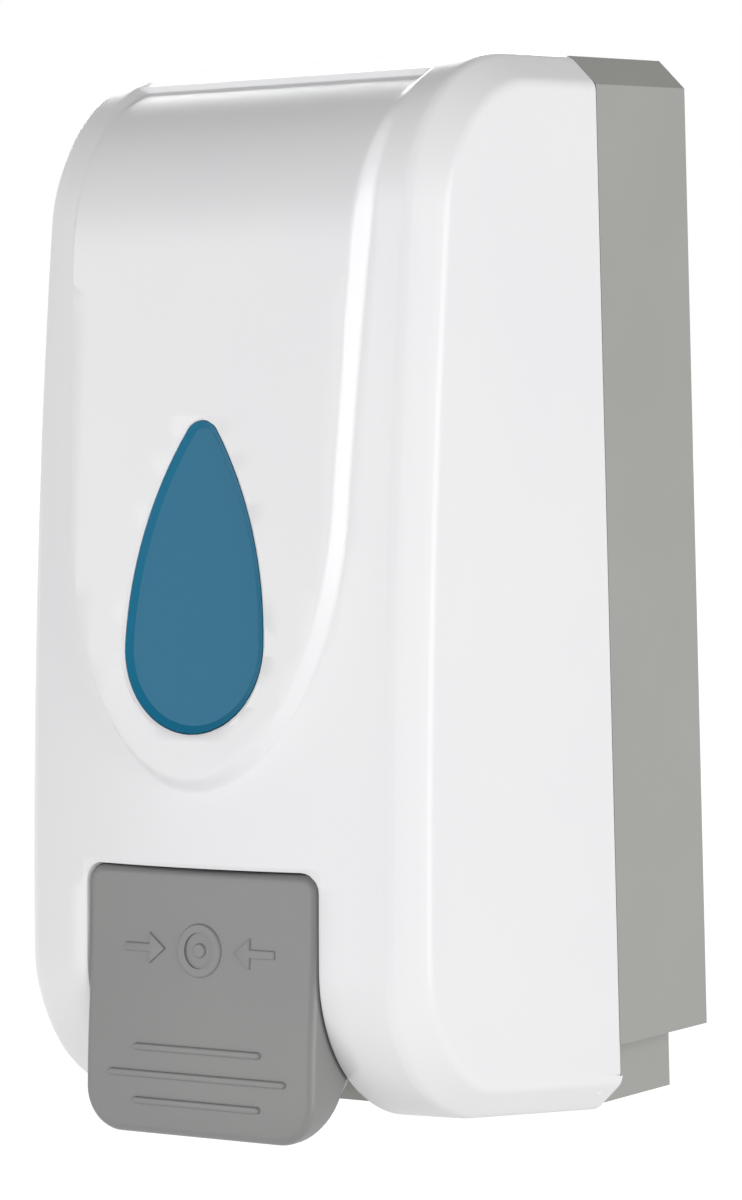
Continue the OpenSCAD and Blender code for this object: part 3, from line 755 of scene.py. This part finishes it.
hook_line = [
    (lip_back, lip_foot),
    (lip_front, lip_foot),
    (lip_front, arm_foot),
    (top_c.x, arm_foot),
    (top_c.x, hook_top),
    (hook_back, hook_top),
    (hook_back, arm_top),
    (lip_back, arm_top),
]
plate(sheet, hook_line, hook_x, hook_x + hook_w)
piece(sheet, "pressed_front_cover", "cover", [white_abs], ["front_cover"], sharp=35)

# %% [markdown]
# ## The level window
# The window is a drop-shaped plug. Its face stands a third of a millimetre in front of the panel,
# and a narrow bevel runs round it down to half a millimetre below the panel. The bevel is an inset
# of the face that is pulled forward, so the ring between the two outlines becomes the slope. A lip
# behind the panel holds the plug in.

# %% Level window
window = bmesh.new()


def lean_back(bm, verts):
    """Moves geometry drawn at y = minus its distance in front of the panel onto the leaning panel."""
    for vert in verts:
        ahead = -vert.co.y
        vert.co.y = -(panel_d + lean * (panel_z - vert.co.z) + ahead * math.hypot(1, lean))


def drop_face(bm, grow, ahead):
    right = [p for p in drop(grow) if p[0] > 1e-6]
    foot = (0, drop_z - drop_r - grow)
    tip = (0, tip_z + tip_r + grow)
    left = [(-x, z) for x, z in right[::-1]]
    return bm.faces.new([bm.verts.new((x, -ahead, z)) for x, z in [foot] + right + [tip] + left])


rim_ahead, face_ahead, bevel_w = -0.5, 0.35, 1.7
plug_depth = wall + 0.5
lip_w, lip_depth = 1.5, 1.5
face = drop_face(window, 0, rim_ahead)
bmesh.ops.recalc_face_normals(window, faces=[face])
if face.normal.y > 0:
    face.normal_flip()
plug = bmesh.ops.extrude_face_region(window, geom=[face], use_keep_orig=True)["geom"]
bmesh.ops.translate(window, verts=verts_in(plug), vec=(0, plug_depth, 0))
bmesh.ops.inset_region(
    window, faces=[face], thickness=bevel_w, depth=face_ahead - rim_ahead, use_even_offset=True
)
# Every face but the front takes the darker acrylic: painted shade on the bevel and the plug's sides.
for f in window.faces:
    if f is not face:
        f.material_index = 1
lip = drop_face(window, lip_w, -wall)
lip_part = bmesh.ops.extrude_face_region(window, geom=[lip], use_keep_orig=True)["geom"]
bmesh.ops.translate(window, verts=verts_in(lip_part), vec=(0, lip_depth, 0))
lean_back(window, window.verts)
# The second finish is the darker copy of the acrylic, painted shade for the bevel.
window_finishes = [window_face, window_bevel_painted_shade]
piece(window, "drop_window", "cover", window_finishes, ["level_window"], sharp=20)

# %% [markdown]
# ## The push lever
# The lever is a shallow tray: a plate with walls that reach back to its pin. Its front edge is well
# rounded, because hands press on it all day. A block with rounded corners is drawn, its front edge
# is bevelled, and planes slice it across so that it can take the plate's slight S. Only then is it
# hollowed, from behind, and bent into place.

# %% Lever tray
lever_w = lever_high.x / MM
lever_foot = height_of(lever_low.z)
lever_top = height_of(lever_high.z)
lever_wall = 2.4
tray_depth = 20.0
front_edge = 3.0
face_top_d, face_lean, face_wave = 124.5, 4.5, 0.35
walls_d, knee_d, heel_d = 104.5, 113.0, 125.0
bend_z, knee_z = 30.0, 20.0


def lever_face(height):
    """Depth of the plate's face: it leans out towards the foot in a very slight S."""
    down = (lever_top - height) / (lever_top - lever_foot)
    return face_top_d + face_lean * down - face_wave * math.sin(2 * math.pi * down)


def lever_back(height):
    """Depth of the walls' rear edge: straight down beside the pin, then forward to the foot."""
    if height > bend_z:
        return walls_d
    if height > knee_z:
        return walls_d + (bend_z - height) * (knee_d - walls_d) / (bend_z - knee_z)
    return knee_d + (knee_z - height) * (heel_d - knee_d) / (knee_z - lever_foot)


lever = bmesh.new()
foot_round, top_round = 10.0, 4.0
right = curve(lever_w - foot_round, lever_foot + foot_round, foot_round, foot_round, -90, 0, 12)
right += curve(lever_w - top_round, lever_top - top_round, top_round, top_round, 0, 90, 8)
left = [(-x, z) for x, z in right[::-1]]
front = lever.faces.new([lever.verts.new((x, 0, z)) for x, z in right + left])
grown = bmesh.ops.extrude_face_region(lever, geom=[front], use_keep_orig=True)["geom"]
tray_back = [item for item in grown if isinstance(item, bmesh.types.BMFace)]
bmesh.ops.translate(lever, verts=verts_in(grown), vec=(0, tray_depth, 0))
rim = [e for e in lever.edges if all(abs(v.co.y) < 0.001 for v in e.verts)]
round_over(lever, rim, 2.0, 5, clamp_overlap=True)
bmesh.ops.delete(lever, geom=tray_back, context="FACES_ONLY")
for height in steps_between(lever_foot, lever_top, 2.5)[:-1]:
    cut(lever, (0, 0, height), (0, 0, 1))
bmesh.ops.recalc_face_normals(lever, faces=lever.faces[:])
outwards = sum(f.normal.y * f.calc_area() for f in lever.faces)
if outwards > 0:
    bmesh.ops.reverse_faces(lever, faces=lever.faces[:])
bmesh.ops.solidify(lever, geom=lever.faces[:], thickness=lever_wall)
for vert in lever.verts:
    sunk, height = vert.co.y, vert.co.z
    face_d = lever_face(height)
    rear = min(lever_back(height), face_d - front_edge)
    share = max(0, sunk - front_edge) / (tray_depth - front_edge)
    vert.co.y = -(face_d - min(sunk, front_edge) + (rear - face_d + front_edge) * share)
print("the lever's tray has", len(lever.faces), "faces")

# %% [markdown]
# ### Grip ribs and the press mark
# Three low ribs near the foot give a wet hand some grip. Above them a small raised mark, a dot in a
# ring between two arrows that point at it, says where to press. Each is a bar or an outline with
# softened edges, sunk a little into the plate and bent with it.

# %% Ribs and mark


def raise_outline(bm, outline, proud, soften):
    """Raises a closed outline of (x, height) points from the plate, with soft edges."""
    face = bm.faces.new([bm.verts.new((x, -proud, z)) for x, z in outline])
    grown = bmesh.ops.extrude_face_region(bm, geom=[face], use_keep_orig=True)["geom"]
    bmesh.ops.translate(bm, verts=verts_in(grown), vec=(0, proud + 0.6, 0))
    rim = face.edges[:]
    round_over(bm, rim, soften, 3, clamp_overlap=True)


marks = bmesh.new()
rib_z, rib_pitch, rib_r = 17.0, 6.2, 0.8
for row, half in ((-1, 18.3), (0, 25.5), (1, 18.3)):
    right_end = curve(half - rib_r, rib_z + rib_pitch * row, rib_r, rib_r, -90, 90, 6)
    raise_outline(marks, right_end + [(-x, z) for x, z in right_end[::-1]], 0.75, 0.4)
mark_z = 46.0
arrow = [(10, 0), (14.5, 3.6), (14.5, 1), (21.5, 1), (21.5, -1), (14.5, -1), (14.5, -3.6)]
for side in (-1, 1):
    raise_outline(marks, [(side * x, mark_z + z) for x, z in arrow], 0.5, 0.3)
for r_in, r_out in ((0.01, 1.7), (4.2, 6.2)):
    half_section = [(r_in, 0.5), (r_in, -0.5), (r_out - 0.3, -0.5), (r_out, -0.2), (r_out, 0.5)]
    spun(marks, half_section, Vector((0, 0, mark_z)), Vector((0, 1, 0)), 48)
for vert in marks.verts:
    vert.co.y -= lever_face(vert.co.z)
mark_mesh = bpy.data.meshes.new("marks")
bmesh.ops.recalc_face_normals(marks, faces=marks.faces[:])
marks.to_mesh(mark_mesh)
marks.free()
lever.from_mesh(mark_mesh)
bpy.data.meshes.remove(mark_mesh)

# %% [markdown]
# ### The fork
# Behind the plate an arm reaches back and splits into a fork round the pump. Two round pads on it
# lift the pump's collar when the lever is pressed. Two short hubs beside the walls take the pin.

# %% Fork and hubs
pump_d = 80.0
pad_z, pad_r = 48.0, 3.0
slot, arm = 16.0, 6.0
fork_out = slot / 2 + arm
fork_root, fork_tip = pump_d + 16, pump_d - 8
arm_h = 4.0
arm_end = lever_face(pad_z) - 1
web_line = [(arm_end, pad_z - 16), (arm_end, pad_z), (fork_root, pad_z - 1), (fork_root, pad_z - arm_h)]
block(lever, (-fork_out, fork_root, pad_z - arm_h), (fork_out, arm_end, pad_z), 0.4)
for side in (-1, 1):
    near, far = sorted((side * slot / 2, side * fork_out))
    block(lever, (near, fork_tip, pad_z - arm_h), (far, fork_root + 1, pad_z), 0.4)
    ring(lever, near, far, pump_d, pad_z, 0.4, pad_r)
    near, far = sorted((side * (slot / 2 + 1), side * (slot / 2 + 3)))
    plate(lever, web_line, near, far)
    near, far = sorted((side * (lever_w - 6), side * (lever_w - 0.1)))
    ring(lever, near, far, pin_d, pin_z, pin_r + running_fit, eye_r)
piece(lever, "push_lever_tray", "lever", [lever_abs], ["push_lever"], sharp=35)

# %% [markdown]
# ## Softened edges on the CAD shapes
# No moulded edge is perfectly sharp. A real one has a radius of a few tenths of a millimetre, and
# that thin line of light along an edge is what makes a plastic part look real. The CAD mesh is
# loose triangles, so a copy of it is merged, its flat areas are joined, and a Bevel modifier rounds
# what is still sharp.

# %% Copies with softened edges


def softened(node, body, material, width_mm, sharp=32):
    """A copy of a CAD node with its sharp edges rounded, which stands for it."""
    bm = bmesh.new()
    bm.from_mesh(nodes[node].data)
    bmesh.ops.remove_doubles(bm, verts=bm.verts[:], dist=0.004 * MM)
    bmesh.ops.dissolve_limit(
        bm,
        angle_limit=math.radians(0.6),
        verts=bm.verts[:],
        edges=bm.edges[:],
        use_dissolve_boundaries=False,
    )
    mesh = bpy.data.meshes.new(node + "_soft")
    bm.to_mesh(mesh)
    bm.free()
    new = show(mesh, node + "_soft", body, [material], [node], sharp)
    bevel = new.modifiers.new("soft_edges", "BEVEL")
    bevel.width = width_mm * MM
    bevel.segments = 2
    bevel.limit_method = "ANGLE"
    bevel.angle_limit = math.radians(35)
    bevel.use_clamp_overlap = True
    bevel.harden_normals = True


softened("rear_housing", "root", grey_abs, 0.5)
softened("base_block", "root", grey_abs, 0.5)
softened("tank_shelf", "root", grey_abs, 0.4)
softened("tank", "root", tank_pe, 1.2)

# %% [markdown]
# ## Finishes of the other pieces
# The CAD shapes of the screws, seals, pins and pump pieces are right as they are and only take a
# finish. The record says which slot each piece belongs to, and a table says which finish that slot
# is here.

# %% Finishes by slot
finishes = {
    "grey_abs": grey_abs,
    "lever_abs": lever_abs,
    "white_abs": white_abs,
    "window_acrylic": window_face,
    "tank_pe": tank_pe,
    "pump_pp": pump_pp,
    "seal_rubber": seal_rubber,
    "pin_steel": pin_steel,
    "spring_steel": spring_steel,
    "screw_steel": zinc_steel,
    "lock_chrome": lock_chrome,
}
for part in frame["record"]["subparts"]:
    mesh = nodes[part["node"]].data
    mesh.materials.clear()
    mesh.materials.append(finishes[part["material_slot"]])
print(len(finishes), "finishes on", len(nodes), "CAD nodes")

# %% [markdown]
# ## Studio
# The object hangs in the air in front of a plain bright background, over a pale floor that lies
# well below it. The floor shines by itself, as bright as the background, and is left out of the
# light that falls on the object, so the two run into each other without a line.

# %% Floor
floor_bm = bmesh.new()
bmesh.ops.create_grid(floor_bm, x_segments=1, y_segments=1, size=30)
bmesh.ops.translate(floor_bm, verts=floor_bm.verts[:], vec=(0, 0, -0.9))
floor_mesh = bpy.data.meshes.new("floor")
floor_bm.to_mesh(floor_mesh)
floor_bm.free()
floor = bpy.data.objects.new("floor", floor_mesh)
bpy.context.scene.collection.objects.link(floor)
pale, pale_shader = new_material("pale_floor", Base_Color=colour("#808080"), Roughness=0.9)
pale_shader.inputs["Emission Color"].default_value = (1, 1, 1, 1)
pale_shader.inputs["Emission Strength"].default_value = 1.0
floor_mesh.materials.append(pale)
floor.visible_diffuse = False

# %% [markdown]
# The world is white where the camera sees it. As a light it is a softer room: brightest round the
# horizon, darker towards the ceiling, so that surfaces which turn upwards grow darker and show the
# cover's shape.

# %% World light
horizon_light, ceiling_light, ground_light = 0.70, 0.15, 0.48
world = bpy.data.worlds.new("studio")
bpy.context.scene.world = world
world.use_nodes = True
background = world.node_tree.nodes["Background"]
background.inputs["Color"].default_value = (1, 1, 1, 1)
direction = add(world, "ShaderNodeTexCoord").outputs["Generated"]
up_part = add(world, "ShaderNodeSeparateXYZ", {"Vector": direction}).outputs["Z"]
towards_ceiling = add(
    world,
    "ShaderNodeMapRange",
    {
        "Value": up_part,
        "From Min": 0.0,
        "From Max": 0.8,
        "To Min": horizon_light,
        "To Max": ceiling_light,
    },
)
room = add(
    world,
    "ShaderNodeMapRange",
    {
        "Value": up_part,
        "From Min": -0.8,
        "From Max": 0.0,
        "To Min": ground_light,
        "To Max": towards_ceiling.outputs["Result"],
    },
)
seen = add(world, "ShaderNodeLightPath").outputs["Is Camera Ray"]
strength = add(
    world, "ShaderNodeMapRange", {"Value": seen, "To Min": room.outputs["Result"], "To Max": 1.0}
)
link(world, strength.outputs["Result"], background.inputs["Strength"])

# %% [markdown]
# Each lamp is a square area light that looks at the middle of the object. A big lamp close by makes
# soft shadows and wide highlights. The one behind and above only reaches surfaces that face up, and
# draws the bright line where the cover rolls over.

# %% Lamps
middle = Vector((0, -0.06, -0.035))


def lamp(name, place, size, watts):
    light = bpy.data.lights.new(name, "AREA")
    light.size = size
    light.energy = watts
    holder = bpy.data.objects.new(name, light)
    holder.location = place
    holder.rotation_euler = (middle - Vector(place)).to_track_quat("-Z", "Y").to_euler()
    bpy.context.scene.collection.objects.link(holder)


lamp("above_behind", (-0.75, 0.85, 0.5), 0.6, 12)
lamp("front_left", (-0.7, -1.5, 0.1), 1.2, 9)
lamp("right", (1.5, -0.35, 0.1), 1.0, 12)

# %% [markdown]
# ## Camera
# A long lens from a little over a metre away, thirty-six degrees round to the object's right and
# three degrees above it, with a slight roll to the side.

# %% Camera
camera_data = bpy.data.cameras.new("camera")
camera_data.sensor_fit = "VERTICAL"
camera_data.sensor_height = 36
camera_data.lens = 140.7
camera = bpy.data.objects.new("camera", camera_data)
bpy.context.scene.collection.objects.link(camera)
azimuth, pitch, roll = (math.radians(a) for a in (35.84, 3.20, 1.60))
ahead = Vector((-math.sin(azimuth), math.cos(azimuth), 0))
forward = math.cos(pitch) * ahead - math.sin(pitch) * Vector((0, 0, 1))
level = Vector((math.cos(azimuth), math.sin(azimuth), 0))
upwards = level.cross(forward)
right_axis = math.cos(roll) * level - math.sin(roll) * upwards
up_axis = math.sin(roll) * level + math.cos(roll) * upwards
turn = Matrix((right_axis, up_axis, -forward)).transposed().to_4x4()
camera.matrix_world = Matrix.Translation((0.6594, -0.9676, 0.0251)) @ turn
bpy.context.scene.camera = camera
bpy.context.scene.view_settings.view_transform = "Standard"
